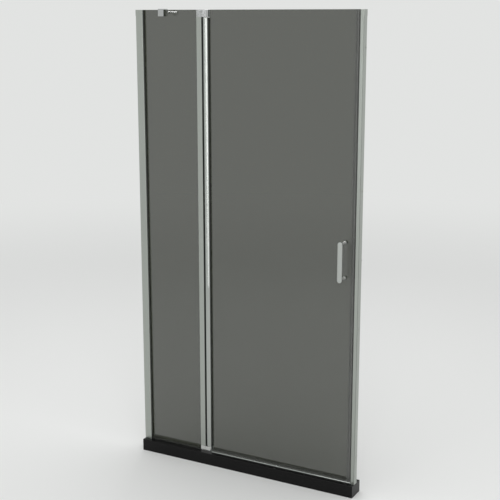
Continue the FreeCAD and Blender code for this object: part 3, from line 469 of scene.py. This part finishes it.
def cross_ring(angles, half_width, arm, height):
    """Outline of a cross: at an angle a from its nearest arm it ends at arm / cos a or at half_width / sin a,
    whichever comes first."""
    from_arm = np.abs((angles + np.pi / 4.0) % (np.pi / 2.0) - np.pi / 4.0)
    radius = np.minimum(arm / np.cos(from_arm), half_width / np.maximum(np.sin(from_arm), 1e-6))
    return np.stack([radius * np.cos(angles), radius * np.sin(angles), np.full_like(angles, height)], axis=-1)


def bracket_screw_heads():
    """Pan-head screws with a tapered cross recess, head up in the top casting and head down in the foot.

    Each is a turned profile from the bevelled tip along the shank, out under the head and up its rim, then
    along part of an ellipse to the flat. From there three crosses, each smaller and deeper, lead in."""
    low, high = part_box("bracket_screws")
    head, head_height, rim, shank = 0.0037, 0.0024, 0.0013, 0.00195
    point, point_height = 0.0008, 0.0010            # bevel at the screw's tip
    crown_width, crown_rise = 0.0012, 0.00108       # rounding from the rim to the flat of the head
    flat, flat_edge, flat_rise = 0.00215, 0.00235, 0.00002
    recess_steps = ((0.00048, 0.00190, 0.0), (0.00040, 0.00150, 0.0006), (0.00026, 0.00080, 0.0014))
    top_length, foot_length = 0.0435, 0.0395        # shanks below the head
    side = np.radians([-45.0, -36.0, -28.0, -20.0, -12.0, -6.0, 0.0, 6.0, 12.0, 20.0, 28.0, 36.0])
    angles = np.concatenate([side + quarter * np.pi / 2.0 for quarter in range(4)])
    turn = np.linspace(0.0, 0.72 * np.pi / 2.0, 9)  # the rounding takes 0.72 of a quarter turn
    crown = np.stack([head - crown_width * (1.0 - np.cos(turn)), rim + crown_rise * np.sin(turn)], axis=-1)
    recess = np.stack([cross_ring(angles, half_width, arm, head_height - depth)
                       for half_width, arm, depth in recess_steps])
    x = low[0] + head
    shells = []
    for y in (low[1] + head, high[1] - head):
        for way, end, length in ((1.0, high[2], top_length), (-1.0, low[2], foot_length)):
            profile = [(shank - point, -length), (shank, point_height - length), (shank, 0.0), (head, 0.0),
                       *crown, (flat_edge, head_height - flat_rise), (flat, head_height)]
            rings = np.concatenate([lathe(profile, angles), recess])
            seat = end - way * head_height
            place = [x + rings[..., 0], y + way * rings[..., 1], seat + way * rings[..., 2]]
            shells.append(np.stack(place, axis=-1))
    steel = FINISHES["screw_steel"]
    fine_piece("bracket_screw_heads", shells, steel, "root", "bracket_screws")


# Studio

def quad(name, corners, material):
    """Flat stage piece through four corners."""
    mesh = bpy.data.meshes.new(name)
    mesh.from_pydata([list(map(float, corner)) for corner in corners], [], [(0, 1, 2, 3)])
    mesh.materials.append(material)
    piece = bpy.data.objects.new(name, mesh)
    bpy.context.scene.collection.objects.link(piece)


def studio_floor():
    """Flat square level with the underside of the base bar.

    It is lit near the set and turns into the backdrop far from it."""
    material, graph = finish("pale_floor")
    lit = graph.principled(base_color=opaque(FLOOR_COLOUR), roughness=0.9, specular_ior_level=0.1)
    glow = graph.node("ShaderNodeEmission", None, {"Color": opaque(BACKDROP), "Strength": 1.0})
    place = graph.node("ShaderNodeTexCoord", out="Object")
    reach = graph.node("ShaderNodeVectorMath", {"operation": "LENGTH"}, {0: place}, "Value")
    far = graph.node(
        "ShaderNodeMapRange",
        {"interpolation_type": "SMOOTHSTEP"},
        {"Value": reach, "From Min": FLOOR_NEAR, "From Max": FLOOR_FAR},
    )
    graph.output(graph.node("ShaderNodeMixShader", None, {0: far, 1: lit, 2: glow}))
    corners = FLOOR_REACH * np.array([(-1, -1, 0), (1, -1, 0), (1, 1, 0), (-1, 1, 0)], float)
    quad("studio_floor", corners, material)


def studio_world():
    """Even pale surroundings: a plain backdrop to the camera, metal and glass, soft light to the rest."""
    world = bpy.data.worlds.new("studio")
    bpy.context.scene.world = world
    graph = Graph(world)
    seen = 0.0
    for ray in ("Is Camera Ray", "Is Glossy Ray", "Is Transmission Ray"):
        path = graph.node("ShaderNodeLightPath", out=ray)
        seen = path.math("MAXIMUM", path, seen)
    light = graph.colour(seen, (SKY_LIGHT,) * 3, BACKDROP)
    shader = graph.node("ShaderNodeBackground", None, {"Color": light, "Strength": 1.0})
    graph.node("ShaderNodeOutputWorld", None, {"Surface": shader})


def light_set(name, pieces, state):
    """Set for light linking: with INCLUDE its lamps light these pieces alone, with EXCLUDE all but these."""
    lit = bpy.data.collections.new(name)
    for piece in pieces:
        lit.objects.link(bpy.data.objects[piece])
    for member in lit.collection_objects:
        member.light_linking.link_state = state
    return lit


def softbox(name, place, target, width, height, watts, lean=0.0, lit=None):
    """Rectangular lamp at place, facing target, turned on its own axis by the lean in degrees.

    With a light set it lights only what that set lets it."""
    light = bpy.data.lights.new(name, "AREA")
    light.shape = "RECTANGLE"
    light.size = width
    light.size_y = height
    light.energy = watts
    lamp = bpy.data.objects.new(name, light)
    bpy.context.scene.collection.objects.link(lamp)
    lamp.location = place
    facing = (Vector(target) - Vector(place)).to_track_quat("-Z", "Y")
    lamp.rotation_euler = (facing @ Quaternion((0.0, 0.0, 1.0), math.radians(lean))).to_euler()
    lamp.visible_camera = False
    if lit:
        lamp.light_linking.receiver_collection = lit


def studio_lamps():
    """Two broad lamps for the whole set, and four small ones for the lines of light on its metal.

    The panes would mirror the small ones as stray bright shapes, so their light sets leave the panes out."""
    middle = (0.0, 0.0, 1.0)
    off_panes = light_set("off_panes", ("fixed_glass", "door_glass"), "EXCLUDE")
    on_rods = light_set("on_rods", ("handle_rods",), "INCLUDE")
    softbox("key", (2.6, -4.2, 4.2), middle, 2.5, 2.5, 60.0)
    softbox("top", (0.0, 0.3, 4.4), middle, 3.0, 2.0, 30.0)
    softbox("stile_line", (-1.504, -2.2412, 1.25), (-0.165, -0.014, 1.25), 0.008, 2.3, 0.17, 0.22, off_panes)
    softbox("edge_line", (-0.5, -3.5, 1.5), (-0.47, -0.014, 1.5), 0.25, 1.4, 3.0, lit=off_panes)
    softbox("rod_line", (0.218, -0.702, 2.206), (0.437, -0.03, 0.99), 0.6, 0.35, 32.0, lit=on_rods)
    softbox("brace_line", (-1.59, 2.87, 2.38), (-0.43, 0.15, 1.889), 0.5, 0.3, 6.0, lit=off_panes)


def studio_camera():
    """Camera of the photograph's solve, with its middle shifted to where the photograph's lies."""
    camera = bpy.data.cameras.new("camera")
    camera.sensor_width = SENSOR
    camera.lens = FOCAL_PX * SENSOR / IMAGE_SIZE
    camera.shift_x = (IMAGE_SIZE / 2 - MIDDLE_PX[0]) / IMAGE_SIZE
    camera.shift_y = (MIDDLE_PX[1] - IMAGE_SIZE / 2) / IMAGE_SIZE
    camera.clip_end = 2.0 * FLOOR_REACH
    holder = bpy.data.objects.new("camera", camera)
    bpy.context.scene.collection.objects.link(holder)
    holder.location = CAMERA_PLACE
    holder.rotation_euler = (math.radians(90 + CAMERA_PITCH), 0.0, math.radians(CAMERA_YAW))
    bpy.context.scene.camera = holder


dress_frame()
handle_rods()
bracket_screw_heads()
studio_floor()
studio_world()
studio_lamps()
studio_camera()
bpy.context.scene.view_settings.view_transform = "Standard"
